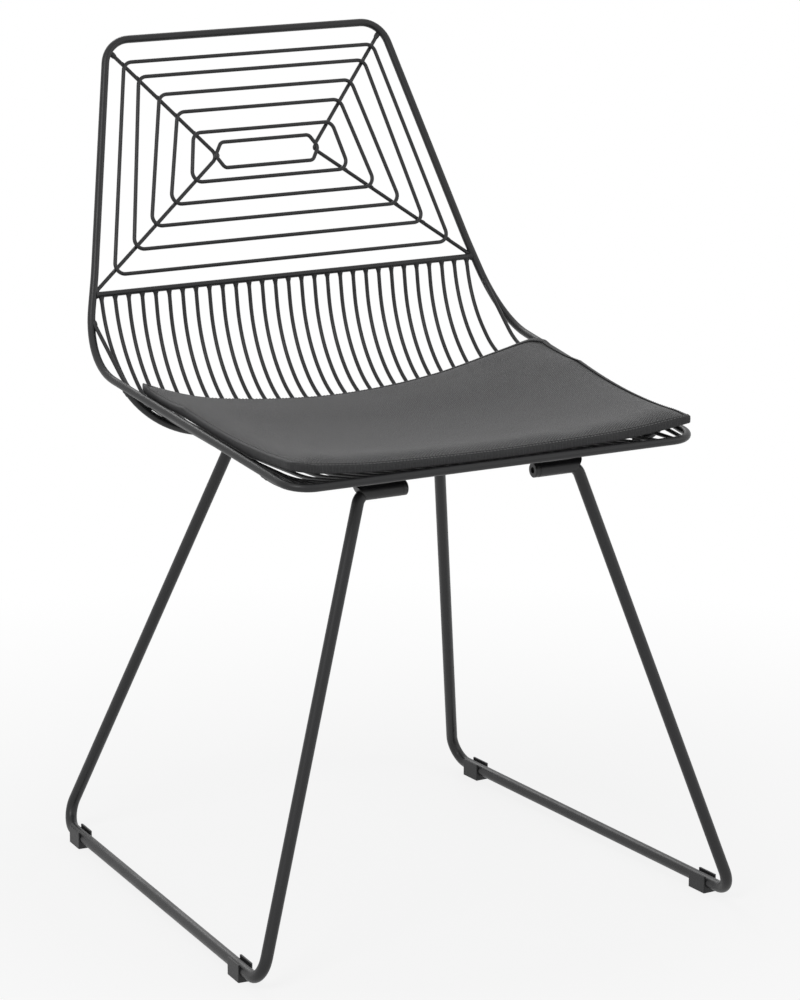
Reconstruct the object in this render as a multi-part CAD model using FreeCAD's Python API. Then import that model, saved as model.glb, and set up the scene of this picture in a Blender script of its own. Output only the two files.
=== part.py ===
# Wire mesh chair: a bent rod rim that holds a web of wire loops for the back and a dished
# row of wires for the seat, on two sled leg frames bolted into sleeves, with a thin seat pad.
#
# Millimetres, +Z up, the front towards -Y, alike on both sides of X = 0. The pieces are drawn
# with the crossbar at y = 0 and are then moved along Y, so that the origin lies on the floor
# in the middle of the whole chair.
import FreeCAD
import Part
import math
import os

Vector = FreeCAD.Vector

# Rod and wire diameters
LEG_ROD = 12.0
RIM_ROD = 8.0
SUPPORT_ROD = 8.0
BAR_ROD = 6.0
WIRE = 4.0

# Heights: the front sleeves' axis above the floor, and what lies above or below it
SEAT_HEIGHT = 456.3
REAR_SLEEVE_DROP = 6.8
BAR_RISE = 132.6
FRONT_RISE = 27.7

# Rim in the leaning plane of the back: half widths, and runs up that plane from the crossbar
BACK_LEAN = math.radians(21.33)
RIM_TOP_RUN = 260.4
RIM_TOP_HALF = 158.5
RIM_HIP_RUN = 20.0
RIM_HIP_HALF = 215.7
RIM_SEAT_RUN = -69.0
RIM_SEAT_HALF = 240.3
RIM_TOP_BEND = 30.0
RIM_HIP_BEND = 400.0
RIM_SEAT_BEND = 92.0

# Front of the rim
FRONT_Y = -442.0
FRONT_HALF = 220.5
FRONT_BEND = 26.0

# Web of the back: each loop's top half width and run, then its bottom half width and run
LOOPS = (
    (144.2, 236.0, 194.7, 18.2),
    (130.6, 219.8, 168.6, 41.8),
    (110.9, 199.7, 144.9, 63.9),
    (94.1, 179.9, 119.2, 84.5),
    (80.1, 156.9, 91.4, 105.4),
)
LOOP_BEND = 10.0
CENTRE_RUN = 131.4
CENTRE_HALF_LONG = 59.5
CENTRE_HALF_HIGH = 13.5
CENTRE_CORNER_IN = 8.5
CENTRE_BEND = 6.0
BRACE_BEND = 8.0
BRACE_MIDDLE_IN = 4.5
BRACE_TOP_IN = 1.0
BRACE_TOP_DOWN = 10.4

# Seat wires: their number, the gap from the last one to the rim, and how far they draw in
SEAT_WIRES = 29
SEAT_WIRE_MARGIN = 9.0
SEAT_FAN = 0.06
SEAT_KNEE_Y = -19.8
SEAT_KNEE_CUT = 50.2
SEAT_UPPER_BEND = 130.0
SEAT_LOWER_BEND = 90.0
SEAT_KNEE_TURN = math.radians(20.0)
SEAT_KNEE_ROOM = 0.97
SEAT_DIP = 7.5
SEAT_DIP_Y = -215.0
SEAT_DIP_BEND = 400.0
SEAT_FRONT_KNEE_Y = -350.0
SEAT_FRONT_BEND = 250.0

# Side wires: the end on the rim's upright, the knee, the droop and the end on the front corner
SIDE_WIRE_DROP = 22.3
SIDE_WIRE_KNEE_Y = -85.0
SIDE_WIRE_KNEE_BEND = 72.0
SIDE_WIRE_DIP = 3.0
SIDE_WIRE_FRONT_IN = 11.5
SIDE_WIRE_FRONT_Y = 3.7

# Rods across under the wires: the flat stretch in the middle of each, and the room that its
# hollowed end leaves to the rim
REAR_ROD_FLAT_HALF = 136.0
FRONT_ROD_FLAT_HALF = 168.0
COPE_GAP = 0.1

# Leg frames: where the lines of the rods would meet, and the bends between them
SLEEVE_FRONT_Y = -383.5
SLEEVE_REAR_Y = -107.2
LEG_TOP_FRONT_HALF = 119.8
LEG_TOP_REAR_HALF = 117.9
LEG_FOOT_FRONT_HALF = 265.0
LEG_FOOT_FRONT_Y = -457.1
LEG_FOOT_REAR_HALF = 235.4
LEG_FOOT_REAR_Y = 66.0
LEG_TOP_BEND = 14.0
LEG_FOOT_BEND = 21.0

# Sleeves and the bolts in their inner ends
SLEEVE_OUTER = 15.0
SLEEVE_CLEARANCE = 0.1
SLEEVE_INNER_END = 76.0
ROD_END_INSET = 3.0
BOLT_SHANK = 6.0
BOLT_HOLE_CLEARANCE = 0.2
BOLT_SHANK_LENGTH = 18.0
BOLT_HOLE_DEPTH = 20.0
BOLT_HEAD_STEP = 0.1
BOLT_HEAD_HEIGHT = 5.5
BOLT_HEAD_EDGE = 0.5
BOLT_SOCKET_FLATS = 6.0
BOLT_SOCKET_DEPTH = 3.5

# Feet that clip over the runners
FOOT_SOLE = 5.0
FOOT_LENGTH = 27.0
FOOT_WIDTH = 15.0
FOOT_HEIGHT = 17.8
FOOT_CLEARANCE = 0.1
FOOT_EDGE = 0.8
FOOT_SLOT_WIDTH = 11.2
FOOT_FRONT_INSET = 51.7
FOOT_REAR_INSET = 47.2

# Seat pad: gaps to the wires and to the rim, thickness, and how its rim lies
PAD_GAP = 0.5
PAD_DIP_GAP = 0.7
PAD_KNEE_GAP = 0.7
PAD_SIDE_GAP = 0.8
PAD_THICKNESS = 16.8
PAD_EDGE_THICKNESS = 7.5
PAD_SKIN = 1.2
PAD_SEAM = 7.0
PAD_FOAM_GAP = 0.2
PAD_FRONT_BEHIND = 0.5
PAD_FRONT_GAP = 0.5
PAD_BACK_Y = -98.0
PAD_BACK_CURL = 5.0
PAD_BACK_CURL_LENGTH = 18.0
PAD_EDGE_LIFT_BACK = 43.0
PAD_EDGE_LIFT_DIP = 42.5
PAD_EDGE_LIFT_KNEE = 23.5
PAD_EDGE_LIFT_FRONT = 10.5
PAD_GENTLE_PART = 0.5
PAD_GENTLE_POWER = 1.6
PAD_FLAT_SHARE = 0.55
PAD_LIP_SHARE = 0.03
PAD_LIFT_POWER = 1.8
PAD_CROWN_SHARE = 0.16
PAD_LIP_CROWN = 0.08
# Where the top's section turns from its front round into the crown, and back down behind:
# distances in from the ends, the fullness there, and the place where it is fullest
PAD_FRONT_ROUND = 13.0
PAD_FRONT_ROUND_FULL = 0.72
PAD_FRONT_FLAT = 40.0
PAD_FULL_Y = -310.0
PAD_BACK_ROUND = 30.0
PAD_BACK_ROUND_FULL = 0.92
PAD_SEAM_FULL = 0.04
# Share of the half width, and how far the back edge lies behind its middle there
PAD_SECTIONS = (
    (0.0, 0.0),
    (0.30, 1.0),
    (0.50, 6.0),
    (0.65, 9.0),
    (0.78, 3.0),
    (0.86, -6.0),
    (0.93, -15.0),
    (0.97, -24.0),
    (1.0, -40.0),
)

RUNNER_HEIGHT = FOOT_SOLE + LEG_ROD / 2
BAR_HEIGHT = SEAT_HEIGHT + BAR_RISE
FRONT_HEIGHT = SEAT_HEIGHT + FRONT_RISE
MIDDLE = Vector(0, 0, 0)
ACROSS = Vector(1, 0, 0)
UP = Vector(0, 0, 1)


def bent_path(points, bends):
    """Straight runs between the points, with one bend radius for each inner point."""
    edges = []
    start = points[0]
    for before, corner, after, radius in zip(points, points[1:], points[2:], bends):
        back = (before - corner).normalize()
        ahead = (after - corner).normalize()
        half = back.getAngle(ahead) / 2
        reach = radius / math.tan(half)
        first = corner + back * reach
        last = corner + ahead * reach
        top = corner + (back + ahead).normalize() * (radius / math.sin(half) - radius)
        edges.append(Part.LineSegment(start, first).toShape())
        edges.append(Part.Arc(first, top, last).toShape())
        start = last
    edges.append(Part.LineSegment(start, points[-1]).toShape())
    return Part.Wire(edges)


def rod(points, bends, diameter):
    """A round rod bent along the path."""
    along = points[1] - points[0]
    section = Part.Face(Part.Wire(Part.Circle(points[0], along, diameter / 2).toShape()))
    return bent_path(points, bends).makePipe(section)


def mirrored(shape):
    return shape.mirror(MIDDLE, ACROSS)


def both_sides(half):
    """One solid from its right half, which ends square on the plane X = 0."""
    return half.fuse(mirrored(half)).removeSplitter()


def between(value, low, high, at_low, at_high):
    """Straight-line value between two places."""
    return at_low + (at_high - at_low) * (value - low) / (high - low)


def on_back(half, run, out=0.0):
    """A point of the back's plane, moved out towards the sitter."""
    y = run * math.sin(BACK_LEAN) - out * math.cos(BACK_LEAN)
    z = BAR_HEIGHT + run * math.cos(BACK_LEAN) + out * math.sin(BACK_LEAN)
    return Vector(half, y, z)


SEAT_CORNER = on_back(RIM_SEAT_HALF, RIM_SEAT_RUN)
BAR_HALF = between(0.0, RIM_HIP_RUN, RIM_SEAT_RUN, RIM_HIP_HALF, RIM_SEAT_HALF)


def rail(y):
    """The axis of the rim's side rail at a place along Y."""
    half = between(y, SEAT_CORNER.y, FRONT_Y, RIM_SEAT_HALF, FRONT_HALF)
    z = between(y, SEAT_CORNER.y, FRONT_Y, SEAT_CORNER.z, FRONT_HEIGHT)
    return Vector(half, y, z)


class CrossRod:
    """A rod across the seat: flat in the middle, then an arc up to the side rail at each end."""

    def __init__(self, y, sleeve_height, flat_half):
        end = rail(y)
        self.y = y
        self.flat_half = flat_half
        self.z = sleeve_height + (SLEEVE_OUTER + SUPPORT_ROD) / 2
        over = end.x - flat_half
        rise = end.z - self.z
        self.radius = (over * over + rise * rise) / (2 * rise)
        self.end = end

    def wire_height(self, x):
        """The height of a wire's axis that lies on top of the rod."""
        lift = (SUPPORT_ROD + WIRE) / 2
        radius = self.radius - lift
        over = max(0.0, abs(x) - self.flat_half)
        return self.z + lift + radius - math.sqrt(radius * radius - over * over)

    def shape(self):
        start = Vector(0, self.y, self.z)
        turn = Vector(self.flat_half, self.y, self.z)
        angle = math.atan2(self.end.x - self.flat_half, self.z + self.radius - self.end.z)
        half_turn = Vector(
            self.flat_half + self.radius * math.sin(angle / 2),
            self.y,
            self.z + self.radius * (1 - math.cos(angle / 2)),
        )
        path = Part.Wire([
            Part.LineSegment(start, turn).toShape(),
            Part.Arc(turn, half_turn, self.end).toShape(),
        ])
        section = Part.Face(Part.Wire(Part.Circle(start, ACROSS, SUPPORT_ROD / 2).toShape()))
        along = (rail(FRONT_Y) - SEAT_CORNER).normalize()
        reach = 2 * RIM_ROD
        cope = Part.makeCylinder(
            RIM_ROD / 2 + COPE_GAP,
            2 * reach,
            self.end - along * reach,
            along,
        )
        return both_sides(path.makePipe(section).cut(cope))


REAR_ROD = CrossRod(SLEEVE_REAR_Y, SEAT_HEIGHT - REAR_SLEEVE_DROP, REAR_ROD_FLAT_HALF)
FRONT_ROD = CrossRod(SLEEVE_FRONT_Y, SEAT_HEIGHT, FRONT_ROD_FLAT_HALF)


def rim_frame():
    """The outline of the whole chair: one rod round the back and the seat."""
    points = [
        on_back(0, RIM_TOP_RUN),
        on_back(RIM_TOP_HALF, RIM_TOP_RUN),
        on_back(RIM_HIP_HALF, RIM_HIP_RUN),
        SEAT_CORNER,
        Vector(FRONT_HALF, FRONT_Y, FRONT_HEIGHT),
        Vector(0, FRONT_Y, FRONT_HEIGHT),
    ]
    bends = [RIM_TOP_BEND, RIM_HIP_BEND, RIM_SEAT_BEND, FRONT_BEND]
    return both_sides(rod(points, bends, RIM_ROD))


def crossbar(rim):
    """The bar between the back and the seat, butted against the rim."""
    ends = [on_back(-BAR_HALF, 0), on_back(BAR_HALF, 0)]
    return rod(ends, [], BAR_ROD).cut(rim)


def back_loop(top_half, top_run, bottom_half, bottom_run):
    """One closed wire loop of the back, on the sitter's side of the braces."""
    out = WIRE / 2
    points = [
        on_back(0, top_run, out),
        on_back(top_half, top_run, out),
        on_back(bottom_half, bottom_run, out),
        on_back(0, bottom_run, out),
    ]
    return both_sides(rod(points, [LOOP_BEND, LOOP_BEND], WIRE))


def centre_loop():
    """The long loop in the middle of the back, with blunt pointed ends."""
    out = WIRE / 2
    corner_half = CENTRE_HALF_LONG - CENTRE_CORNER_IN
    high = CENTRE_RUN + CENTRE_HALF_HIGH
    low = CENTRE_RUN - CENTRE_HALF_HIGH
    points = [
        on_back(0, high, out),
        on_back(corner_half, high, out),
        on_back(CENTRE_HALF_LONG, CENTRE_RUN, out),
        on_back(corner_half, low, out),
        on_back(0, low, out),
    ]
    return both_sides(rod(points, [CENTRE_BEND] * 3, WIRE))


def back_brace(rim, bar):
    """The right brace: from the rim's top corner to the centre loop and out to the crossbar's end."""
    out = -WIRE / 2
    points = [
        on_back(RIM_TOP_HALF - BRACE_TOP_IN, RIM_TOP_RUN - BRACE_TOP_DOWN, out),
        on_back(CENTRE_HALF_LONG - BRACE_MIDDLE_IN, CENTRE_RUN, out),
        on_back(BAR_HALF, 0, out),
    ]
    return rod(points, [BRACE_BEND], WIRE).cut(rim).cut(bar)


def wire_x(top_half, y):
    """Where a seat wire lies across the chair, drawing in towards the front."""
    return top_half * (1 + SEAT_FAN * y / -FRONT_Y)


def side_share(x):
    """How near a place is to the side wires, from 0 in the middle to 1."""
    side = REAR_ROD.wire_height(side_wire_x(REAR_ROD.y)) - REAR_ROD.wire_height(0)
    return (REAR_ROD.wire_height(x) - REAR_ROD.wire_height(0)) / side


def side_wire_start():
    """The point on the rim's upright where the right side wire is welded."""
    return on_back(
        between(-SIDE_WIRE_DROP, RIM_HIP_RUN, RIM_SEAT_RUN, RIM_HIP_HALF, RIM_SEAT_HALF),
        -SIDE_WIRE_DROP,
    )


def side_wire_x(y):
    start = side_wire_start()
    front_half = FRONT_HALF - SIDE_WIRE_FRONT_IN
    return between(y, start.y, FRONT_Y + SIDE_WIRE_FRONT_Y, start.x, front_half)


def seat_run(x_at, dip):
    """Heights of a wire where it passes the rear rod, the dip, the front knee and the front end."""
    rear = REAR_ROD.wire_height(x_at(REAR_ROD.y))
    front = FRONT_ROD.wire_height(x_at(FRONT_ROD.y))
    chord = between(SEAT_DIP_Y, REAR_ROD.y, FRONT_ROD.y, rear, front)
    knee = between(SEAT_FRONT_KNEE_Y, FRONT_ROD.y, FRONT_Y, front, FRONT_HEIGHT)
    return rear, chord - dip, knee, FRONT_HEIGHT


def seat_height(x, y):
    """The height of the wires' axes at a place forward of the rear rod."""

    def x_at(place):
        return x

    rear, dip, knee, end = seat_run(x_at, SEAT_DIP * (1 - side_share(x)))
    if y > SEAT_DIP_Y:
        return between(y, REAR_ROD.y, SEAT_DIP_Y, rear, dip)
    if y > SEAT_FRONT_KNEE_Y:
        return between(y, SEAT_DIP_Y, SEAT_FRONT_KNEE_Y, dip, knee)
    return between(y, SEAT_FRONT_KNEE_Y, FRONT_Y, knee, end)


def seat_wire(top_half, rim, bar):
    """One wire from the crossbar down, forward over both cross rods and up to the front bar."""

    def x_at(y):
        return wire_x(top_half, y)

    def place(y, z):
        return Vector(x_at(y), y, z)

    dip = SEAT_DIP * (1 - side_share(x_at(REAR_ROD.y)))
    rear, dip_z, knee_z, end_z = seat_run(x_at, dip)
    top = place(0, BAR_HEIGHT)
    knee = place(SEAT_KNEE_Y, between(SEAT_KNEE_Y, REAR_ROD.y, SEAT_DIP_Y, rear, dip_z))
    dip_point = place(SEAT_DIP_Y, dip_z)
    upper_turn = SEAT_KNEE_CUT + SEAT_UPPER_BEND * math.tan(SEAT_KNEE_TURN)
    share = min(1.0, SEAT_KNEE_ROOM * (top - knee).Length / upper_turn)
    cut = SEAT_KNEE_CUT * share
    points = [
        top,
        knee + (top - knee).normalize() * cut,
        knee + (dip_point - knee).normalize() * cut,
        dip_point,
        place(SEAT_FRONT_KNEE_Y, knee_z),
        place(FRONT_Y, end_z),
    ]
    bends = [SEAT_UPPER_BEND * share, SEAT_LOWER_BEND * share, SEAT_DIP_BEND, SEAT_FRONT_BEND]
    return rod(points, bends, WIRE).cut(bar).cut(rim)


def side_wire(rim):
    """The right outermost wire, from the rim's upright along the rail to the front corner."""
    rear, dip_z, knee_z, end_z = seat_run(side_wire_x, SIDE_WIRE_DIP)
    end_y = FRONT_Y + SIDE_WIRE_FRONT_Y
    points = [
        side_wire_start(),
        Vector(
            side_wire_x(SIDE_WIRE_KNEE_Y),
            SIDE_WIRE_KNEE_Y,
            between(SIDE_WIRE_KNEE_Y, REAR_ROD.y, SEAT_DIP_Y, rear, dip_z),
        ),
        Vector(side_wire_x(SEAT_DIP_Y), SEAT_DIP_Y, dip_z),
        Vector(side_wire_x(SEAT_FRONT_KNEE_Y), SEAT_FRONT_KNEE_Y, knee_z),
        Vector(side_wire_x(end_y), end_y, end_z),
    ]
    bends = [SIDE_WIRE_KNEE_BEND, SEAT_DIP_BEND, SEAT_FRONT_BEND]
    return rod(points, bends, WIRE).cut(rim)


def leg_rod(diameter, end_half):
    """The right leg frame's rod, also used a little wider to clear the sleeves."""
    front_z = SEAT_HEIGHT
    rear_z = SEAT_HEIGHT - REAR_SLEEVE_DROP
    points = [
        Vector(end_half, SLEEVE_FRONT_Y, front_z),
        Vector(LEG_TOP_FRONT_HALF, SLEEVE_FRONT_Y, front_z),
        Vector(LEG_FOOT_FRONT_HALF, LEG_FOOT_FRONT_Y, RUNNER_HEIGHT),
        Vector(LEG_FOOT_REAR_HALF, LEG_FOOT_REAR_Y, RUNNER_HEIGHT),
        Vector(LEG_TOP_REAR_HALF, SLEEVE_REAR_Y, rear_z),
        Vector(end_half, SLEEVE_REAR_Y, rear_z),
    ]
    bends = [LEG_TOP_BEND, LEG_FOOT_BEND, LEG_FOOT_BEND, LEG_TOP_BEND]
    return rod(points, bends, diameter)


def leg_frame():
    """The right leg frame, with a tapped hole in each end of its rod."""
    end = SLEEVE_INNER_END + ROD_END_INSET
    radius = BOLT_SHANK / 2 + BOLT_HOLE_CLEARANCE
    frame = leg_rod(LEG_ROD, end)
    for y, z in sleeve_axes():
        frame = frame.cut(Part.makeCylinder(radius, BOLT_HOLE_DEPTH, Vector(end, y, z), ACROSS))
    return frame


def sleeve_axes():
    """Where the axes of the front and rear sleeves lie, as y and z."""
    return (
        (SLEEVE_FRONT_Y, SEAT_HEIGHT),
        (SLEEVE_REAR_Y, SEAT_HEIGHT - REAR_SLEEVE_DROP),
    )


def leg_sleeve(y, z, leg_top_half, foot):
    """The right sleeve on one axis: bored for the leg rod and mitred where the rod bends down."""
    corner = Vector(leg_top_half, y, z)
    length = leg_top_half + SLEEVE_OUTER - SLEEVE_INNER_END
    body = Part.makeCylinder(SLEEVE_OUTER / 2, length, Vector(SLEEVE_INNER_END, y, z), ACROSS)
    outward = ((foot - corner).normalize() + ACROSS).normalize()
    block_size = 4 * SLEEVE_OUTER
    block = Part.makeBox(block_size, block_size, block_size)
    block.translate(Vector(-block_size / 2, -block_size / 2, 0))
    block.Placement = FreeCAD.Placement(
        corner, FreeCAD.Rotation(UP, outward)
    ).multiply(block.Placement)
    bore = leg_rod(LEG_ROD + 2 * SLEEVE_CLEARANCE, SLEEVE_INNER_END - SLEEVE_OUTER)
    return body.cut(block).cut(bore)


def bolt(y, z):
    """The right bolt of one axis: a wide flat head with a hex socket, and its shank."""
    shank_start = SLEEVE_INNER_END
    head_start = shank_start - BOLT_HEAD_HEIGHT
    head_radius = SLEEVE_OUTER / 2 - BOLT_HEAD_STEP
    head = Part.makeCylinder(head_radius, BOLT_HEAD_HEIGHT, Vector(head_start, y, z), ACROSS)
    rims = [edge for edge in head.Edges if edge.Curve.TypeId == "Part::GeomCircle"]
    head = head.makeChamfer(BOLT_HEAD_EDGE, rims)
    shank = Part.makeCylinder(BOLT_SHANK / 2, BOLT_SHANK_LENGTH, Vector(shank_start, y, z), ACROSS)
    socket_radius = BOLT_SOCKET_FLATS / math.sqrt(3)
    corners = []
    for step in range(7):
        angle = math.radians(60 * step)
        corners.append(Vector(
            head_start,
            y + socket_radius * math.cos(angle),
            z + socket_radius * math.sin(angle),
        ))
    socket = Part.Face(Part.makePolygon(corners)).extrude(ACROSS * BOLT_SOCKET_DEPTH)
    return head.fuse(shank).removeSplitter().cut(socket)


def leg_bolts():
    """All four bolts."""
    right = [bolt(y, z) for y, z in sleeve_axes()]
    return Part.makeCompound(right + [mirrored(one) for one in right])


def foot_clip(end, other_end, inset):
    """A right foot at an inset from one end of the runner: a block with two lips round the rod."""
    block = Part.makeBox(FOOT_WIDTH, FOOT_LENGTH, FOOT_HEIGHT)
    block.translate(Vector(-FOOT_WIDTH / 2, -FOOT_LENGTH / 2, 0))
    upright = [edge for edge in block.Edges if abs(edge.tangentAt(edge.FirstParameter).z) > 0.99]
    block = block.makeFillet(FOOT_EDGE, upright)
    groove = Part.makeCylinder(
        LEG_ROD / 2 + FOOT_CLEARANCE,
        2 * FOOT_LENGTH,
        Vector(0, -FOOT_LENGTH, RUNNER_HEIGHT),
        Vector(0, 1, 0),
    )
    slot = Part.makeBox(FOOT_SLOT_WIDTH, 2 * FOOT_LENGTH, FOOT_HEIGHT)
    slot.translate(Vector(-FOOT_SLOT_WIDTH / 2, -FOOT_LENGTH, RUNNER_HEIGHT))
    foot = block.cut(groove).cut(slot)
    along = (other_end - end).normalize()
    place = end + along * inset - UP * RUNNER_HEIGHT
    foot.Placement = FreeCAD.Placement(place, FreeCAD.Rotation(Vector(0, 1, 0), along))
    return foot


def pad_half(y):
    """Half the pad's width, just inside the rim's rails."""
    return rail(y).x - RIM_ROD / 2 - PAD_SIDE_GAP


def pad_front_low():
    """The underside of the pad's front edge in the middle, over the front bar."""
    return FRONT_HEIGHT + RIM_ROD / 2 + PAD_FRONT_GAP


def pad_edge_lift(y):
    """How much higher the pad's side edge lies than its middle."""
    if y > SEAT_DIP_Y:
        return between(y, PAD_BACK_Y, SEAT_DIP_Y, PAD_EDGE_LIFT_BACK, PAD_EDGE_LIFT_DIP)
    if y > SEAT_FRONT_KNEE_Y:
        return between(y, SEAT_DIP_Y, SEAT_FRONT_KNEE_Y, PAD_EDGE_LIFT_DIP, PAD_EDGE_LIFT_KNEE)
    return between(y, SEAT_FRONT_KNEE_Y, FRONT_Y, PAD_EDGE_LIFT_KNEE, PAD_EDGE_LIFT_FRONT)


def pad_underside(share, y, back_y):
    """The height of the pad's underside at a share of its half width."""
    if y > SEAT_FRONT_KNEE_Y:
        base = seat_height(0, min(y, REAR_ROD.y)) + WIRE / 2 + PAD_GAP
    else:
        knee = seat_height(0, SEAT_FRONT_KNEE_Y) + WIRE / 2 + PAD_GAP + PAD_KNEE_GAP
        base = between(y, SEAT_FRONT_KNEE_Y, FRONT_Y, knee, pad_front_low())
    if y == SEAT_DIP_Y:
        base += PAD_DIP_GAP
    base += PAD_BACK_CURL * max(0.0, 1 - (back_y - y) / PAD_BACK_CURL_LENGTH)
    rising = max(0.0, abs(share) - PAD_FLAT_SHARE) / (1 - PAD_LIP_SHARE - PAD_FLAT_SHARE)
    steep = min(1.0, rising) ** PAD_LIFT_POWER
    gentle = abs(share) ** PAD_GENTLE_POWER
    lift = PAD_GENTLE_PART * gentle + (1 - PAD_GENTLE_PART) * steep
    return base + pad_edge_lift(y) * lift


def pad_section(share, behind, seam, skin):
    """One lengthwise section of the pad, in the upright plane at a share of its half width."""
    back_y = PAD_BACK_Y + behind
    front_y = FRONT_Y + PAD_FRONT_BEHIND
    share *= 1 - seam / RIM_SEAT_HALF
    crown = math.sin(math.pi / 2 * min(1.0, (1 - abs(share)) / PAD_CROWN_SHARE))
    crown = PAD_LIP_CROWN + (1 - PAD_LIP_CROWN) * crown

    def low(y):
        z = pad_underside(share, y, back_y)
        return Vector(share * pad_half(y), y, z + skin)

    def high(y, fullness):
        swell = (PAD_THICKNESS - PAD_EDGE_THICKNESS) * crown * fullness
        z = pad_underside(share, y, back_y) + PAD_EDGE_THICKNESS + swell
        return Vector(share * pad_half(y), y, z - skin)

    back = back_y - seam
    front = front_y + seam
    below = [
        low(back),
        low(back_y - PAD_BACK_CURL_LENGTH),
        low(SEAT_DIP_Y),
        low(SEAT_FRONT_KNEE_Y),
        low(front),
    ]
    edges = [Part.LineSegment(a, b).toShape() for a, b in zip(below, below[1:])]
    above = [
        high(front, PAD_SEAM_FULL * seam),
        high(front_y + PAD_FRONT_ROUND, PAD_FRONT_ROUND_FULL),
        high(front_y + PAD_FRONT_FLAT, 1.0),
        high(PAD_FULL_Y, 1.0),
        high(SEAT_DIP_Y, 1.0),
        high(back_y - PAD_BACK_ROUND, PAD_BACK_ROUND_FULL),
        high(back, PAD_SEAM_FULL * seam),
    ]
    edges.append(Part.LineSegment(below[-1], above[0]).toShape())
    for first, middle, last in zip(above[0::2], above[1::2], above[2::2]):
        edges.append(Part.Arc(first, middle, last).toShape())
    edges.append(Part.LineSegment(above[-1], below[0]).toShape())
    return Part.Wire(edges)


def pad_body(seam, skin):
    """The whole pad, or the space inside its cover when the seam and the skin are given."""
    right = [pad_section(share, behind, seam, skin) for share, behind in PAD_SECTIONS]
    left = [pad_section(-share, behind, seam, skin) for share, behind in PAD_SECTIONS[1:]]
    return Part.makeLoft(left[::-1] + right, True, False)


def main():
    rim = rim_frame()
    bar = crossbar(rim)
    brace = back_brace(rim, bar)
    frame = leg_frame()
    front_foot = Vector(LEG_FOOT_FRONT_HALF, LEG_FOOT_FRONT_Y, RUNNER_HEIGHT)
    rear_foot = Vector(LEG_FOOT_REAR_HALF, LEG_FOOT_REAR_Y, RUNNER_HEIGHT)
    (front_y, front_z), (rear_y, rear_z) = sleeve_axes()
    front_sleeve = leg_sleeve(front_y, front_z, LEG_TOP_FRONT_HALF, front_foot)
    rear_sleeve = leg_sleeve(rear_y, rear_z, LEG_TOP_REAR_HALF, rear_foot)
    front_clip = foot_clip(front_foot, rear_foot, FOOT_FRONT_INSET)
    rear_clip = foot_clip(rear_foot, front_foot, FOOT_REAR_INSET)

    nodes = {
        "rim_frame": rim,
        "crossbar": bar,
        "back_centre_loop": centre_loop(),
        "rear_seat_rod": REAR_ROD.shape(),
        "front_seat_rod": FRONT_ROD.shape(),
        "leg_bolts": leg_bolts(),
    }
    for number, sizes in enumerate(LOOPS, start=1):
        nodes["back_loop_%d" % number] = back_loop(*sizes)
    pairs = {
        "back_brace": brace,
        "side_wire": side_wire(rim),
        "leg_frame": frame,
        "front_sleeve": front_sleeve,
        "rear_sleeve": rear_sleeve,
        "front_foot": front_clip,
        "rear_foot": rear_clip,
    }
    for name, right in pairs.items():
        nodes[name + "_right"] = right
        nodes[name + "_left"] = mirrored(right)

    span = BAR_HALF - SEAT_WIRE_MARGIN
    for index in range(SEAT_WIRES):
        top_half = between(index, 0, SEAT_WIRES - 1, -span, span)
        wire = seat_wire(abs(top_half), rim, bar)
        nodes["seat_wire_%02d" % (index + 1)] = mirrored(wire) if top_half < 0 else wire

    space = pad_body(PAD_SEAM, PAD_SKIN)
    nodes["seat_pad_cover"] = pad_body(0.0, 0.0).cut(space)
    nodes["seat_pad_foam"] = pad_body(PAD_SEAM + PAD_FOAM_GAP, PAD_SKIN + PAD_FOAM_GAP)

    box = rim.optimalBoundingBox(False, False)
    box.add(frame.optimalBoundingBox(False, False))
    to_middle = Vector(0, -(box.YMin + box.YMax) / 2, 0)
    print("moved along Y by", round(to_middle.y, 3))
    os.makedirs("parts", exist_ok=True)
    for name, shape in nodes.items():
        shape.translate(to_middle)
        shape.exportStep("parts/%s.step" % name)
        print(name, len(shape.Solids), shape.isValid(), round(shape.Volume, 1))


main()
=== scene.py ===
# Looks of the wire mesh chair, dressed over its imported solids.
#
# Metres, +Z up, the front towards -Y. The rods and wires stay as the solids have them, with
# weld beads added where they meet. The seat pad is new: a crowned panel with a bound, stitched edge.
import math

import bpy
import numpy as np
from mathutils import Matrix, Vector, noise
from mathutils.bvhtree import BVHTree
from mathutils.geometry import intersect_line_line_2d


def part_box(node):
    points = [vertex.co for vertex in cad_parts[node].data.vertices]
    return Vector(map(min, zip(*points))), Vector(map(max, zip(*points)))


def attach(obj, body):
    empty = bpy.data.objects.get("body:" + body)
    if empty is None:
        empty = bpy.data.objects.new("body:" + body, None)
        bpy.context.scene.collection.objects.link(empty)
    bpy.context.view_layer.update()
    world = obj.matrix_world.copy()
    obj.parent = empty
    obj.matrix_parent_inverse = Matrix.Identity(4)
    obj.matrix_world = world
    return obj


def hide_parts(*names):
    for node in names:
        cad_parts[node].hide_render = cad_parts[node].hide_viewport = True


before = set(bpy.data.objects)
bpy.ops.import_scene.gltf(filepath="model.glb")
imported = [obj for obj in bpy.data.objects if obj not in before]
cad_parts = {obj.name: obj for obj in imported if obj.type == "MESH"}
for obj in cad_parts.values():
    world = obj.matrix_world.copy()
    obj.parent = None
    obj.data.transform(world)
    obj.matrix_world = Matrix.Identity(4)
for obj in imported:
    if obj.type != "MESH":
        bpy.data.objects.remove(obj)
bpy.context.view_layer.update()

bar_low, bar_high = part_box("crossbar")
BAR_Y = (bar_low.y + bar_high.y) / 2
BAR_Z = (bar_low.z + bar_high.z) / 2

# Rod and wire radii
WIRE_R = 0.002
BAR_R = 0.003
ROD_R = 0.004

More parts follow.
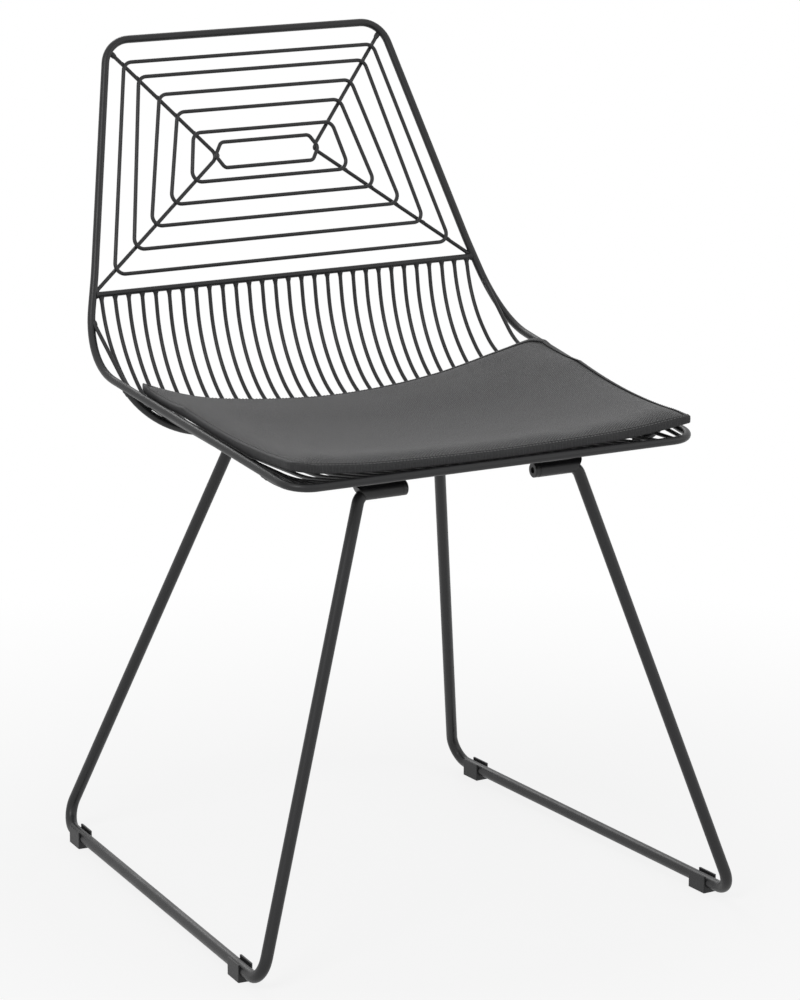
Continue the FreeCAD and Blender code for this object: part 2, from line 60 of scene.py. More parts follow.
# The back's plane: its lean, and half widths and runs up it from the crossbar
BACK_LEAN = math.radians(21.33)
BAR_HALF = 0.22123
RIM_TOP = (0.1575, 0.250)
CENTRE_TIP = (0.0595, 0.1314)
BRACE_MIDDLE = (0.055, 0.1314)
LOOPS = (
    (0.1442, 0.2360, 0.1947, 0.0182),
    (0.1306, 0.2198, 0.1686, 0.0418),
    (0.1109, 0.1997, 0.1449, 0.0639),
    (0.0941, 0.1799, 0.1192, 0.0845),
    (0.0801, 0.1569, 0.0914, 0.1054),
)

# Rods across under the seat wires: distance from the crossbar, and the slope of their ends
REAR_ROD_BACK = 0.1072
FRONT_ROD_BACK = 0.3835
REAR_ROD_SLOPE = math.radians(58.0)
FRONT_ROD_SLOPE = math.radians(43.2)
REAR_ROD_END = (0.2364, 0.5166)
FRONT_ROD_END = (0.2233, 0.4897)
WIRE_DROP_LEAN = math.radians(9.5)
SEAT_WIRES = 29

# Welds drawn out along a wire: half length and thickness
LOOP_WELD = (0.0036, 0.0017)
CENTRE_WELD = (0.0034, 0.0022)
BRACE_WELD = (0.0060, 0.0029)
BRACE_WELD_IN = 0.0055
ROD_CROSSING_WELD = (0.0028, 0.0014)
ROD_CROSSING_BESIDE = 0.0012
SIDE_WIRE_WELD = (0.0050, 0.0028)
SLEEVE_WELD = (0.0090, 0.0017)
SLEEVE_WELD_BESIDE = 0.0016
SLEEVE_WELD_PLACES = (0.3, 0.62)

# Welds round a butted end: how far they stand out sideways and up, and how far they run
BAR_END_WELD = (0.0016, 0.0010, 0.0060)
WIRE_TOP_WELD = (0.0019, 0.0003, 0.0075)
WIRE_TOP_SINK = 0.0006
WIRE_FRONT_WELD = (0.0014, 0.0006, 0.0060)
ROD_END_WELD = (0.0012, 0.0004, 0.0060)
WELD_UNEVEN = 0.00018

# The pad in plan, with distances from the crossbar
PAD_FRONT = 0.4415
PAD_FRONT_HALF = 0.21573
PAD_SIDE_BACK = 0.1380
PAD_SIDE_BACK_HALF = 0.23013
PAD_BACK_EDGE = (
    (0.0, 0.0980),
    (0.0696, 0.0970),
    (0.1162, 0.0920),
    (0.1512, 0.0890),
    (0.1812, 0.0950),
    (0.1993, 0.1040),
    (0.2151, 0.1130),
    (0.2240, 0.1220),
)
PAD_CORNER_RIGHT = 0.004
PAD_CORNER_LEFT = 0.024

# The pad's panel and binding
PANEL_INSET = 0.0010
BINDING_WIDTH = 0.0056
BINDING_THICK = 0.0009
PILLOW_RISE = 0.0009
PILLOW_AT = 0.016
PILLOW_END = 0.045
RIPPLE = 0.00022
UNDERSIDE_PINCH = 0.0005
STITCH_INSET = 0.0044
FRONT_STITCH_INSET = 0.0018
FRONT_STITCH_REACH = 0.006
STITCH_STEP = 0.0036
STITCH_LENGTH = 0.0027
STITCH_R = 0.00058

# Spacings of the leather's two crossing grains and of the thread's twist
GRAIN_STEP = 0.0021
CROSS_GRAIN_STEP = 0.0017
TWIST_STEP = 0.0007

# The photograph's viewpoint, measured from the crossbar along Y
CAMERA_LENS = 146.11
CAMERA_YAW = -0.49832097
CAMERA_PITCH = 0.25151017
CAMERA_ROLL = 0.0009
CAMERA_X = -1.87291
CAMERA_FRONT = 3.68547
CAMERA_Z = 1.41027


def smooth_step(value, low, high):
    share = np.clip((value - low) / (high - low), 0.0, 1.0)
    return share * share * (3 - 2 * share)


class Shader:
    """A material whose nodes are added one call at a time."""

    def __init__(self, name, **sockets):
        self.material = bpy.data.materials.new(name)
        self.material.use_nodes = True
        self.tree = self.material.node_tree
        self.surface = self.tree.nodes["Principled BSDF"]
        for socket, value in sockets.items():
            self.surface.inputs[socket.replace("_", " ")].default_value = value

    def node(self, kind, values=None, links=None, **settings):
        made = self.tree.nodes.new("ShaderNode" + kind)
        for setting, value in settings.items():
            setattr(made, setting, value)
        for socket, value in (values or {}).items():
            made.inputs[socket].default_value = value
        for socket, source in (links or {}).items():
            self.tree.links.new(source, made.inputs[socket])
        return made.outputs

    def place(self):
        return self.node("TexCoord")["Object"]

    def turned(self, angle, place):
        """The place turned about the vertical axis."""
        return self.node(
            "Mapping", {"Rotation": (0, 0, angle)}, {"Vector": place}, vector_type="POINT"
        )["Vector"]

    def cloud(self, place, scale, detail=2.0, roughness=0.5):
        values = {"Scale": scale, "Detail": detail, "Roughness": roughness}
        return self.node("TexNoise", values, {"Vector": place})["Fac"]

    def bands(self, place, spacing, distortion, detail_scale=2.0):
        """Soft ridges that repeat at a spacing in metres."""
        scale = 2 * math.pi / (20 * spacing)
        values = {"Scale": scale, "Distortion": distortion, "Detail Scale": detail_scale}
        return self.node("TexWave", values, {"Vector": place})["Fac"]

    def ranged(self, source, low, high, at_low, at_high):
        values = {"From Min": low, "From Max": high, "To Min": at_low, "To Max": at_high}
        return self.node("MapRange", values, {"Value": source})["Result"]

    def sums(self, operation, first, second):
        """A calculation on two values, each a number or an output."""
        made = self.tree.nodes.new("ShaderNodeMath")
        made.operation = operation
        for socket, value in zip(made.inputs, (first, second)):
            if isinstance(value, (int, float)):
                socket.default_value = value
            else:
                self.tree.links.new(value, socket)
        return made.outputs["Value"]

    def colours(self, factor, first, second):
        ramp = self.tree.nodes.new("ShaderNodeValToRGB")
        ramp.color_ramp.elements[0].color = (*first, 1)
        ramp.color_ramp.elements[1].color = (*second, 1)
        self.tree.links.new(factor, ramp.inputs["Fac"])
        return ramp.outputs["Color"]

    def bump(self, height, strength, distance, before=None):
        links = {"Height": height}
        if before is not None:
            links["Normal"] = before
        return self.node("Bump", {"Strength": strength, "Distance": distance}, links)["Normal"]

    def set(self, **links):
        for socket, source in links.items():
            self.tree.links.new(source, self.surface.inputs[socket.replace("_", " ")])
        return self.material


def powder_coat(name, dark, light, roughness, texture):
    """Black baked coating with a fine orange peel."""
    shader = Shader(name, Specular_IOR_Level=0.42)
    place = shader.place()
    peel = shader.cloud(place, 900.0, 2.0)
    drift = shader.cloud(place, 35.0, 3.0)
    return shader.set(
        Base_Color=shader.colours(drift, dark, light),
        Roughness=shader.ranged(drift, 0.3, 0.7, roughness - 0.05, roughness + 0.05),
        Normal=shader.bump(peel, texture, 0.0002),
    )


def leather(name, dark, light, roughness, grain, ridges):
    """Coated fabric with a fine grain of crossing ridges."""
    shader = Shader(name, Specular_IOR_Level=0.38)
    place = shader.place()
    first = shader.bands(shader.turned(math.radians(52), place), GRAIN_STEP, 2.6)
    second = shader.bands(shader.turned(math.radians(-38), place), CROSS_GRAIN_STEP, 3.4)
    weave = shader.sums("MULTIPLY", first, second)
    pebble = shader.cloud(place, 520.0, 3.0, 0.6)
    ridged = shader.sums("MULTIPLY", weave, ridges)
    height = shader.sums("ADD", ridged, shader.sums("MULTIPLY", pebble, 0.6))
    drift = shader.cloud(place, 9.0, 3.0)
    raised = shader.sums("MULTIPLY", height, 0.8)
    tone = shader.sums("ADD", raised, shader.sums("MULTIPLY", drift, 0.2))
    return shader.set(
        Base_Color=shader.colours(shader.ranged(tone, 0.32, 0.92, 0.0, 1.0), dark, light),
        Roughness=shader.ranged(height, 0.3, 1.3, roughness + 0.06, roughness - 0.06),
        Normal=shader.bump(height, grain, 0.0004),
    )


def thread():
    """Twisted sewing thread."""
    shader = Shader("thread", Specular_IOR_Level=0.3)
    place = shader.place()
    ply = shader.bands(shader.turned(math.radians(45), place), TWIST_STEP, 1.0)
    return shader.set(
        Base_Color=shader.colours(ply, (0.080, 0.080, 0.081), (0.240, 0.240, 0.242)),
        Roughness=shader.ranged(ply, 0.0, 1.0, 0.75, 0.6),
        Normal=shader.bump(ply, 0.4, 0.0002),
    )


def plastic():
    """Moulded black plastic, softly rounded at its edges."""
    shader = Shader("foot_plastic", Specular_IOR_Level=0.4)
    place = shader.place()
    spark = shader.cloud(place, 1600.0, 2.0)
    drift = shader.cloud(place, 60.0, 2.0)
    rounded = shader.node("Bevel", {"Radius": 0.0006})["Normal"]
    return shader.set(
        Base_Color=shader.colours(drift, (0.012, 0.012, 0.013), (0.02, 0.02, 0.021)),
        Roughness=shader.ranged(spark, 0.3, 0.7, 0.42, 0.55),
        Normal=shader.bump(spark, 0.12, 0.0002, rounded),
    )


def bolt_steel():
    """Blackened steel with turning marks."""
    shader = Shader("bolt_steel", Metallic=0.4)
    place = shader.place()
    marks = shader.cloud(place, 1400.0, 4.0)
    drift = shader.cloud(place, 120.0, 2.0)
    rounded = shader.node("Bevel", {"Radius": 0.0004})["Normal"]
    return shader.set(
        Base_Color=shader.colours(drift, (0.020, 0.020, 0.021), (0.045, 0.045, 0.046)),
        Roughness=shader.ranged(marks, 0.3, 0.7, 0.32, 0.5),
        Normal=shader.bump(marks, 0.1, 0.0002, rounded),
    )


ROD_COAT = powder_coat("rod_coat", (0.011, 0.011, 0.012), (0.017, 0.017, 0.018), 0.40, 0.10)
WELD_COAT = powder_coat("weld_coat", (0.010, 0.010, 0.011), (0.018, 0.018, 0.019), 0.46, 0.30)
PANEL_LEATHER = leather("panel_leather", (0.036, 0.036, 0.037), (0.165, 0.165, 0.167), 0.56, 0.95, 1.6)
EDGE_LEATHER = leather("edge_leather", (0.012, 0.012, 0.013), (0.070, 0.070, 0.071), 0.50, 0.35, 0.2)
THREAD = thread()
PLASTIC = plastic()
STEEL = bolt_steel()


def finish_nodes():
    """Every solid that stays in view gets its finish."""
    for name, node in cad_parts.items():
        if name.startswith("seat_pad"):
            continue
        finish = ROD_COAT
        if name.endswith(("foot_left", "foot_right")):
            finish = PLASTIC
        if name == "leg_bolts":
            finish = STEEL
        for slot in node.material_slots:
            slot.material = finish


def new_piece(name, points, faces, material, body):
    mesh = bpy.data.meshes.new(name)
    mesh.from_pydata([tuple(point) for point in points], [], [tuple(face) for face in faces])
    mesh.polygons.foreach_set("use_smooth", [True] * len(mesh.polygons))
    mesh.validate()
    mesh.update()
    made = bpy.data.objects.new(name, mesh)
    bpy.context.scene.collection.objects.link(made)
    mesh.materials.append(material)
    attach(made, body)
    return made


class Lumps:
    """Many small closed forms gathered into one mesh."""

    def __init__(self):
        self.points = []
        self.faces = []

    def rings(self, rings):
        """Closes a run of equal rings into one form."""
        start = len(self.points)
        around = len(rings[0])
        for ring in rings:
            self.points.extend(ring)
        for row in range(len(rings) - 1):
            for step in range(around):
                here = start + row * around + step
                beside = start + row * around + (step + 1) % around
                self.faces.append((here, beside, beside + around, here + around))
        last = start + (len(rings) - 1) * around
        self.faces.append(tuple(range(start + around - 1, start - 1, -1)))
        self.faces.append(tuple(range(last, last + around)))

    def flare(self, foot, along, beside, radius, wide, thin, length, sink=0.001):
        """A weld round the butted end of a rod: an oval skirt that closes in on the rod."""
        along = along.normalized()
        beside = (beside - along * beside.dot(along)).normalized()
        third = along.cross(beside)
        rows = 7
        around = 14
        rings = []
        for row in range(rows):
            share = row / (rows - 1)
            fade = (1 - share) ** 2.2
            centre = foot + along * (length * share - sink)
            ring = []
            for step in range(around):
                angle = 2 * math.pi * step / around
                reach = beside * math.cos(angle) * (radius + wide * fade)
                rise = third * math.sin(angle) * (radius + thin * fade)
                point = centre + reach + rise
                uneven = WELD_UNEVEN * noise.noise(point * 700)
                ring.append(point + (point - centre).normalized() * uneven)
            rings.append(ring)
        self.rings(rings)

    def bead(self, centre, along, long, thick):
        """A small uneven drop of weld, drawn out one way."""
        along = along.normalized()
        beside = along.orthogonal().normalized()
        third = along.cross(beside)
        rows = 7
        around = 12
        rings = []
        for row in range(rows):
            angle = math.pi * (0.08 + 0.84 * row / (rows - 1))
            spine = centre - along * long * math.cos(angle)
            ring = []
            for step in range(around):
                turn = 2 * math.pi * step / around
                out = beside * math.cos(turn) + third * math.sin(turn)
                size = thick * math.sin(angle) * (1 + 0.18 * noise.noise((centre + out) * 900))
                ring.append(spine + out * size)
            rings.append(ring)
        self.rings(rings)

    def piece(self, name, material, body):
        return new_piece(name, self.points, self.faces, material, body)


def on_back(half, run, out=0.0):
    """A point of the back's plane, moved out towards the sitter."""
    y = run * math.sin(BACK_LEAN) - out * math.cos(BACK_LEAN)
    z = run * math.cos(BACK_LEAN) + out * math.sin(BACK_LEAN)
    return Vector((half, BAR_Y + y, BAR_Z + z))


def end_of(name, axis, sign, depth=0.0015):
    """The middle of a wire's end: the mean of its points furthest along an axis."""
    points = np.array([vertex.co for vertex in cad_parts[name].data.vertices])
    reach = points[:, axis] * sign
    return Vector(points[reach > reach.max() - depth].mean(axis=0))


def tree_of(name):
    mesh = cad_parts[name].data
    corners = [vertex.co for vertex in mesh.vertices]
    return BVHTree.FromPolygons(corners, [tuple(face.vertices) for face in mesh.polygons])


ACROSS = Vector((1, 0, 0))
UP = Vector((0, 0, 1))


def back_welds():
    """Where the loops lie on the braces, and where the braces end."""
    lumps = Lumps()
    brace = [RIM_TOP, BRACE_MIDDLE, (BAR_HALF, 0.0)]
    for top_half, top_run, bottom_half, bottom_run in LOOPS:
        loop = [(0.0, top_run), (top_half, top_run), (bottom_half, bottom_run), (0.0, bottom_run)]
        for start, end in zip(brace, brace[1:]):
            for first, second in zip(loop, loop[1:]):
                met = intersect_line_line_2d(start, end, first, second)
                if met is None:
                    continue
                for side in (-1, 1):
                    along = on_back(side * end[0], end[1]) - on_back(side * start[0], start[1])
                    lumps.bead(on_back(side * met[0], met[1]), along, *LOOP_WELD)
    for side in (-1, 1):
        upper = on_back(side * RIM_TOP[0], RIM_TOP[1], -WIRE_R)
        lower = on_back(side * BAR_HALF, 0, -WIRE_R)
        middle = on_back(side * BRACE_MIDDLE[0], BRACE_MIDDLE[1], -WIRE_R)
        tip = on_back(side * (CENTRE_TIP[0] - 0.003), CENTRE_TIP[1])
        lumps.bead(tip, UP, *CENTRE_WELD)
        for end in (upper, lower):
            along = (middle - end).normalized()
            lumps.bead(end + along * BRACE_WELD_IN, along, *BRACE_WELD)
        bar_end = on_back(side * (BAR_HALF - ROD_R), 0)
        lumps.flare(bar_end, ACROSS * -side, UP, BAR_R, *BAR_END_WELD)
    return lumps.piece("back_welds", WELD_COAT, "chair")


def seat_welds():
    """Each seat wire's joints: on the crossbar, on both rods below it and on the front bar."""
    lumps = Lumps()
    down = Vector((0, -math.sin(WIRE_DROP_LEAN), -math.cos(WIRE_DROP_LEAN)))
    for index in range(SEAT_WIRES):
        name = "seat_wire_%02d" % (index + 1)
        top = end_of(name, 2, 1)
        front = end_of(name, 1, -1)
        lumps.flare(
            Vector((top.x, BAR_Y, BAR_Z)) + down * (BAR_R - WIRE_TOP_SINK),
            down,
            ACROSS,
            WIRE_R,
            *WIRE_TOP_WELD,
        )
        lumps.flare(front, Vector((0, 1, -0.08)), ACROSS, WIRE_R, *WIRE_FRONT_WELD)
        tree = tree_of(name)
        for back in (REAR_ROD_BACK, FRONT_ROD_BACK):
            y = BAR_Y - back
            x = front.x + (top.x - front.x) * (y - front.y) / (top.y - front.y)
            met = tree.ray_cast(Vector((x, y, 1.0)), -UP)[0]
            if met is not None:
                contact = met - UP * 2 * WIRE_R
                for side in (-1, 1):
                    beside = ACROSS * side * ROD_CROSSING_BESIDE
                    lumps.bead(contact + beside, Vector((0, 1, 0)), *ROD_CROSSING_WELD)
    return lumps.piece("seat_welds", WELD_COAT, "chair")


def rim_welds():
    """The ends of the cross rods and side wires on the rim, and the sleeves under the rods."""
    lumps = Lumps()
    for side, word in ((-1, "left"), (1, "right")):
        for back, slope, (half, height) in (
            (REAR_ROD_BACK, REAR_ROD_SLOPE, REAR_ROD_END),
            (FRONT_ROD_BACK, FRONT_ROD_SLOPE, FRONT_ROD_END),
        ):
            end = Vector((side * half, BAR_Y - back, height))
            inward = Vector((-side * math.cos(slope), 0, -math.sin(slope)))
            lumps.flare(end + inward * ROD_R, inward, Vector((0, 1, 0)), ROD_R, *ROD_END_WELD)
        wire = "side_wire_" + word
        top = end_of(wire, 2, 1)
        front = end_of(wire, 1, -1)
        lumps.bead(top + Vector((0, -0.001, -0.003)), Vector((0, -0.6, -0.8)), *SIDE_WIRE_WELD)
        lumps.bead(front + Vector((0, 0.002, 0)), Vector((0, 1, -0.1)), *SIDE_WIRE_WELD)
        for sleeve, rod in (("rear_sleeve_", "rear_seat_rod"), ("front_sleeve_", "front_seat_rod")):
            low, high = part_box(sleeve + word)
            rod_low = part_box(rod)[0]
            y = (low.y + high.y) / 2
            reach = high.x - low.x
            for place in SLEEVE_WELD_PLACES:
                for out in (-1, 1):
                    beside = y + out * SLEEVE_WELD_BESIDE
                    centre = Vector((low.x + reach * place, beside, rod_low.z))
                    lumps.bead(centre, ACROSS, *SLEEVE_WELD)
    return lumps.piece("rim_welds", WELD_COAT, "chair")


def rounded(before, corner, after, radius, steps=10):
    """An arc that rounds a corner of a plan outline."""
    back = (before - corner).normalized()
    ahead = (after - corner).normalized()
    half = back.angle(ahead) / 2
    centre = corner + (back + ahead).normalized() * radius / math.sin(half)
    first = corner + back * radius / math.tan(half) - centre
    last = corner + ahead * radius / math.tan(half) - centre
    return [centre + first.lerp(last, step / steps).normalized() * radius for step in range(steps + 1)]


def curve_through(points, steps=12):
    """A smooth line through points."""
    line = []
    count = len(points)
    for index in range(count - 1):
        before = points[max(0, index - 1)]
        start = points[index]
        end = points[index + 1]
        after = points[min(count - 1, index + 2)]
        for step in range(steps):
            t = step / steps
            line.append(0.5 * (
                2 * start
                + (end - before) * t
                + (2 * before - 5 * start + 4 * end - after) * t * t
                + (3 * start - before - 3 * end + after) * t * t * t
            ))
    line.append(points[-1])
    return line


def spaced(points, count):
    """The line again, as evenly spaced points."""
    points = np.array([tuple(point) for point in points])
    reach = np.concatenate([[0], np.cumsum(np.linalg.norm(np.diff(points, axis=0), axis=1))])
    wanted = np.linspace(0, reach[-1], count)
    return np.stack([np.interp(wanted, reach, points[:, axis]) for axis in (0, 1)], axis=1)


def pad_sides(inset):
    """The pad's outline in plan as four lines: front, right, back and left."""
    front_half = PAD_FRONT_HALF - inset
    front_y = BAR_Y - PAD_FRONT + inset
    side_half = PAD_SIDE_BACK_HALF - inset
    side_y = BAR_Y - PAD_SIDE_BACK
    front_left = Vector((-front_half, front_y))
    front_right = Vector((front_half, front_y))
    back_left = Vector((-side_half, side_y))
    back_right = Vector((side_half, side_y))
    left_arc = rounded(back_left, front_left, front_right, PAD_CORNER_LEFT - inset)
    right_arc = rounded(front_left, front_right, back_right, PAD_CORNER_RIGHT - inset)
    middle = len(right_arc) // 2
    edge = [
        Vector((half - inset * half / PAD_SIDE_BACK_HALF, BAR_Y - back - inset))
        for half, back in PAD_BACK_EDGE
    ]
    half_back = edge + [back_right]
    back = [Vector((-point.x, point.y)) for point in half_back[:0:-1]] + half_back
    return (
        left_arc[middle:] + right_arc[:middle + 1],
        right_arc[middle:] + [back_right],
        curve_through(back),
        left_arc[middle::-1] + [back_left],
    )


def coons(front, right, back, left):
    """A grid of plan points between four sides."""
    s = np.linspace(0, 1, len(front))[:, None, None]
    t = np.linspace(0, 1, len(left))[None, :, None]
    across = (1 - s) * left[None] + s * right[None]
    along = (1 - t) * front[:, None] + t * back[:, None]
    near = (1 - s) * front[0] + s * front[-1]
    far = (1 - s) * back[0] + s * back[-1]
    return across + along - (1 - t) * near - t * far


class PadSolid:
    """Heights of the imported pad's top and underside."""

    def __init__(self):
        self.tree = tree_of("seat_pad_cover")

    def height(self, x, y, top):
        start = Vector((x, y, 1.0 if top else 0.0))
        met = self.tree.ray_cast(start, -UP if top else UP)[0]
        return met.z if met is not None else math.nan


SOLID = PadSolid()


def pad_outline(step):
    """Evenly spaced points round the pad, counter-clockwise, with the outward direction."""
    front, right, back, left = pad_sides(0.0)
    loop = front[:-1] + right[:-1] + back[::-1][:-1] + left[::-1]
    length = sum((b - a).length for a, b in zip(loop, loop[1:]))
    points = spaced(loop, round(length / step) + 1)[:-1]
    along = np.roll(points, -1, axis=0) - np.roll(points, 1, axis=0)
    along /= np.linalg.norm(along, axis=1)[:, None]
    return points, np.stack([along[:, 1], -along[:, 0]], axis=1)


def edge_distance(points, outline):
    """How far each point lies from the outline."""
    nearest = np.full(len(points), np.inf)
    for place in outline:
        nearest = np.minimum(nearest, np.linalg.norm(points - place, axis=1))
    return nearest


def filled(values):
    """The grid with each gap given the mean of its known neighbours."""
    values = values.copy()
    while np.isnan(values).any():
        wide = np.pad(values, 1, constant_values=np.nan)
        rows, columns = values.shape
        around = np.stack([
            wide[1 + i:rows + 1 + i, 1 + j:columns + 1 + j]
            for i in (-1, 0, 1) for j in (-1, 0, 1)
        ])
        known = ~np.isnan(around)
        total = np.where(known, around, 0.0).sum(axis=0)
        count = known.sum(axis=0)
        gap = np.isnan(values) & (count > 0)
        values[gap] = total[gap] / count[gap]
    return values


def eased(values, passes):
    """The grid with its inner values evened out."""
    for _ in range(passes):
        inner = values[1:-1, 1:-1]
        around = values[:-2, 1:-1] + values[2:, 1:-1] + values[1:-1, :-2] + values[1:-1, 2:]
        values[1:-1, 1:-1] = 0.5 * inner + 0.125 * around
    return values


def pad_panel():
    """The crowned body of the pad, pinched where the binding holds it."""
    columns = 116
    rows = 84
    front, right, back, left = pad_sides(PANEL_INSET)
    plan = coons(spaced(front, columns), spaced(right, rows), spaced(back, columns), spaced(left, rows))
    flat = plan.reshape(-1, 2)
    inset = edge_distance(flat, pad_outline(0.002)[0])
    heights = []
    for top in (True, False):
        found = np.array([SOLID.height(x, y, top) for x, y in flat])
        heights.append(eased(filled(found.reshape(columns, rows)), 24).reshape(-1))
    above, below = heights
    pinch = 1 - smooth_step(inset, BINDING_WIDTH - 0.0004, BINDING_WIDTH + 0.0035)
    pillow = smooth_step(inset, BINDING_WIDTH, PILLOW_AT)
    pillow *= 1 - smooth_step(inset, PILLOW_AT, PILLOW_END)
    ripple = np.array([
        noise.noise(Vector((x * 34, y * 34, 2.0))) + 0.5 * noise.noise(Vector((x * 80, y * 80, 5.0)))
        for x, y in flat
    ])
    above = above - BINDING_THICK * pinch + PILLOW_RISE * pillow + RIPPLE * ripple * (1 - pinch)
    below = below + UNDERSIDE_PINCH * pinch
    top_points = [(x, y, z) for (x, y), z in zip(flat, above)]
    low_points = [(x, y, z) for (x, y), z in zip(flat, below)]
    count = len(flat)
    faces = []
    for column in range(columns - 1):
        for row in range(rows - 1):
            a = column * rows + row
            b = a + rows
            faces.append((a, b, b + 1, a + 1))
            faces.append((count + a, count + a + 1, count + b + 1, count + b))
    rim = [column * rows for column in range(columns)]
    rim += [(columns - 1) * rows + row for row in range(1, rows)]
    rim += [column * rows + rows - 1 for column in range(columns - 2, -1, -1)]
    rim += list(range(rows - 2, 0, -1))
    for here, beside in zip(rim, rim[1:] + rim[:1]):
        faces.append((here, count + here, count + beside, beside))
    panel = new_piece(
        "pad_panel", top_points + low_points, faces, PANEL_LEATHER, "seat_pad"
    )
    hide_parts("seat_pad_cover", "seat_pad_foam")
    return panel


class Edge:
    """The pad's edge at one place: its plan point, the way out, and the heights there."""

    def __init__(self, point, out):
        self.point = point
        self.out = out
        self.top = self.line(True)
        self.low = self.line(False)
        slope = self.top[1]
        self.stretch = 1 / math.sqrt(1 + slope * slope)

    def line(self, top):
        """Height at the outline, and how fast it changes going in."""
        near, far = 0.0008, 0.0050
        heights = [SOLID.height(*(self.point - self.out * inset), top) for inset in (near, far)]
        slope = (heights[1] - heights[0]) / (far - near)
        return heights[0] - slope * near, slope

    def at(self, inset, level, lift):
        """A point at a distance in from the edge, at a level from 0 below to 1 above."""
        reach = inset * self.stretch
        x, y = self.point - self.out * reach
        top = self.top[0] + self.top[1] * reach
        low = self.low[0] + self.low[1] * reach
        return Vector((x, y, low + (top - low) * level + lift))


BINDING_SECTION = (
    (0.00560, 1.0, -0.00070),
    (0.00555, 1.0, -0.00015),
    (0.00510, 1.0, 0.00005),
    (0.00360, 1.0, 0.00010),
    (0.00180, 1.0, 0.00000),
    (0.00080, 1.0, -0.00015),
    (0.00020, 1.0, -0.00060),
    (-0.00005, 0.80, 0.0),
    (-0.00015, 0.50, 0.0),
    (-0.00005, 0.20, 0.0),
    (0.00025, 0.0, 0.00060),
    (0.00090, 0.0, 0.00015),
    (0.00300, 0.0, 0.00005),
    (0.00500, 0.0, 0.00010),
    (0.00560, 0.0, 0.00070),
    (0.00220, 0.12, 0.0),
    (0.00120, 0.30, 0.0),
    (0.00120, 0.70, 0.0),
    (0.00220, 0.88, 0.0),
)


def pad_edges(step):
    points, outward = pad_outline(step)
    return [Edge(point, out) for point, out in zip(points, outward)]


def pad_binding(edges):
    """A strip folded over the pad's edge all round."""
    points = []
    for edge in edges:
        place = Vector((edge.point[0], edge.point[1], 0))
        sway = 0.00018 * noise.noise(place * 45)
        for inset, level, lift in BINDING_SECTION:
            points.append(edge.at(inset + sway, level, lift))
    around = len(BINDING_SECTION)
    count = len(edges)
    faces = []
    for station in range(count):
        here = station * around
        ahead = (station + 1) % count * around
        for step in range(around):
            beside = (step + 1) % around
            faces.append((here + step, here + beside, ahead + beside, ahead + step))
    return new_piece("pad_binding", points, faces, EDGE_LEATHER, "seat_pad")


def stitch_row(lumps, inset, keep):
    """Stitches along the binding where keep says yes to the plan point."""
    edges = pad_edges(STITCH_STEP)
    for edge, after in zip(edges, edges[1:] + edges[:1]):
        if not keep(edge.point):
            continue
        start = edge.at(inset, 1.0, 0.0001)
        end = after.at(inset, 1.0, 0.0001)
        along = (end - start).normalized()
        beside = (edge.at(inset + 0.001, 1.0, 0.0) - edge.at(inset, 1.0, 0.0)).normalized()
        up = beside.cross(along) if beside.cross(along).z > 0 else along.cross(beside)
        rings = []
        for row in range(5):
            share = row / 4
            spine = start + along * STITCH_LENGTH * share
            spine += up * (0.00030 * math.sin(math.pi * share) - 0.0002)
            size = STITCH_R * (0.55 + 0.45 * math.sin(math.pi * share))
            rings.append([
                spine + beside * size * math.cos(turn) + up * size * math.sin(turn)
                for turn in (2 * math.pi * step / 8 for step in range(8))
            ])
        lumps.rings(rings)


def pad_stitches():
    """One row all round, and a second one along the front."""
    front_zone = BAR_Y - PAD_FRONT + FRONT_STITCH_REACH
    lumps = Lumps()
    stitch_row(lumps, STITCH_INSET, lambda point: True)
    stitch_row(lumps, FRONT_STITCH_INSET, lambda point: point[1] < front_zone)
    return lumps.piece("pad_stitches", THREAD, "seat_pad")


def floor():
    """A pale floor that keeps a soft shadow and runs out to plain white."""
    bpy.ops.mesh.primitive_circle_add(vertices=96, radius=14.0, fill_type="NGON", location=(0, 0, 0))
    made = bpy.context.object
    made.name = "studio_floor"
    shader = Shader("studio_floor")
    tree = shader.tree
    place = shader.place()
    reach = shader.node("VectorMath", None, {0: place}, operation="LENGTH")["Value"]
    open_share = shader.ranged(reach, 0.35, 1.1, 0.84, 1.0)
    seen = seen_directly(shader)
    diffuse = shader.node("BsdfDiffuse", {"Color": (0.86, 0.86, 0.86, 1)})["BSDF"]
    glow = shader.node("Emission", {"Color": (1, 1, 1, 1), "Strength": 1.0})["Emission"]
    mix = tree.nodes.new("ShaderNodeMixShader")
    tree.links.new(shader.sums("MULTIPLY", seen, open_share), mix.inputs[0])
    tree.links.new(diffuse, mix.inputs[1])
    tree.links.new(glow, mix.inputs[2])
    tree.links.new(mix.outputs[0], tree.nodes["Material Output"].inputs["Surface"])
    made.data.materials.append(shader.material)


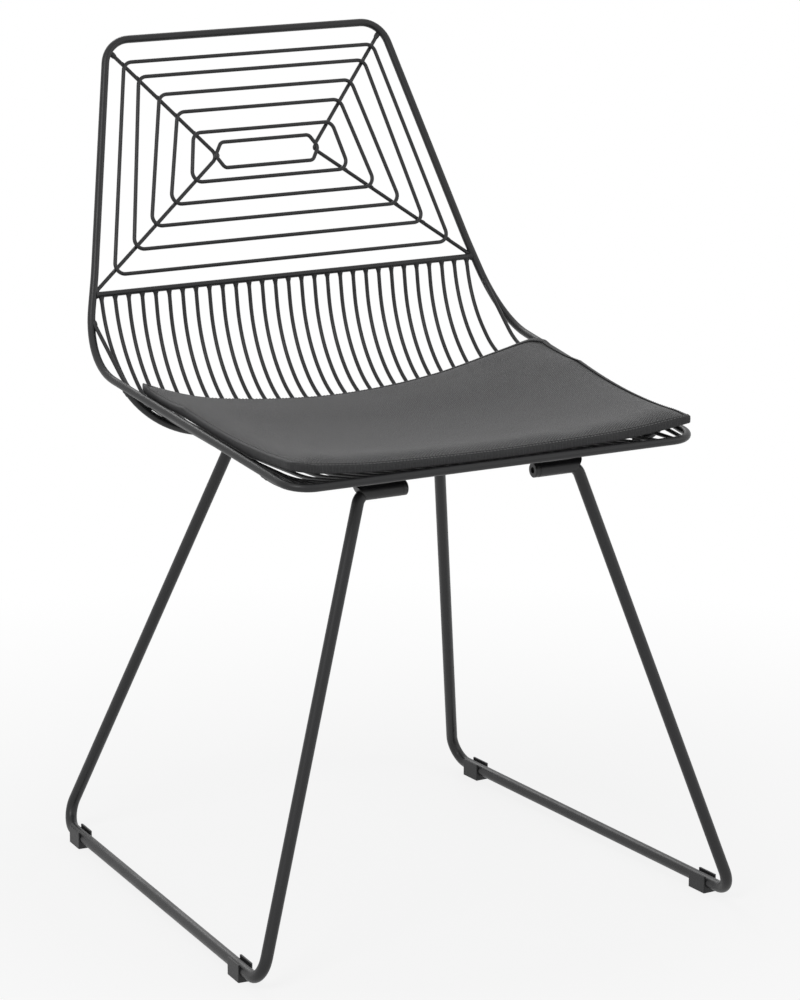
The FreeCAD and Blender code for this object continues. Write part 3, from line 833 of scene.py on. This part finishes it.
def seen_directly(shader):
    """1 for camera, glossy and transmission rays, and 0 for the rest."""
    path = shader.node("LightPath")
    seen = shader.sums("MAXIMUM", path["Is Camera Ray"], path["Is Glossy Ray"])
    return shader.sums("MAXIMUM", seen, path["Is Transmission Ray"])


class WorldShader(Shader):
    """The same calls on the world's nodes."""

    def __init__(self, world):
        self.tree = world.node_tree


def studio():
    """White all round to the camera, and softer as light."""
    world = bpy.data.worlds.new("studio")
    bpy.context.scene.world = world
    world.use_nodes = True
    shader = WorldShader(world)
    strength = shader.ranged(seen_directly(shader), 0.0, 1.0, 0.30, 1.0)
    background = world.node_tree.nodes["Background"]
    background.inputs["Color"].default_value = (1, 1, 1, 1)
    world.node_tree.links.new(strength, background.inputs["Strength"])


def lamp(name, place, aim, size, power):
    light = bpy.data.lights.new(name, "AREA")
    light.shape = "DISK"
    light.size = size
    light.energy = power
    made = bpy.data.objects.new(name, light)
    bpy.context.scene.collection.objects.link(made)
    made.location = place
    made.rotation_euler = (Vector(aim) - Vector(place)).to_track_quat("-Z", "Y").to_euler()


def camera():
    """The photograph's own viewpoint and lens."""
    data = bpy.data.cameras.new("camera")
    data.sensor_width = 36.0
    data.lens = CAMERA_LENS
    data.clip_end = 60.0
    made = bpy.data.objects.new("camera", data)
    bpy.context.scene.collection.objects.link(made)
    place = Matrix.Translation((CAMERA_X, BAR_Y - CAMERA_FRONT, CAMERA_Z))
    aim = Matrix.Rotation(CAMERA_YAW, 4, "Z") @ Matrix.Rotation(math.pi / 2 - CAMERA_PITCH, 4, "X")
    made.matrix_world = place @ aim @ Matrix.Rotation(CAMERA_ROLL, 4, "Z")
    bpy.context.scene.camera = made


camera()
studio()
floor()
lamp("key", (-2.2, -1.6, 2.6), (0, 0, 0.45), 1.4, 30)
lamp("fill", (2.4, -2.2, 1.6), (0, 0, 0.45), 1.6, 9)
lamp("back", (0.4, 2.6, 2.2), (0, 0, 0.5), 1.4, 17)
finish_nodes()
back_welds()
seat_welds()
rim_welds()
panel = pad_panel()
pad_binding(pad_edges(0.002))
pad_stitches()

bpy.context.scene.view_settings.view_transform = "Standard"
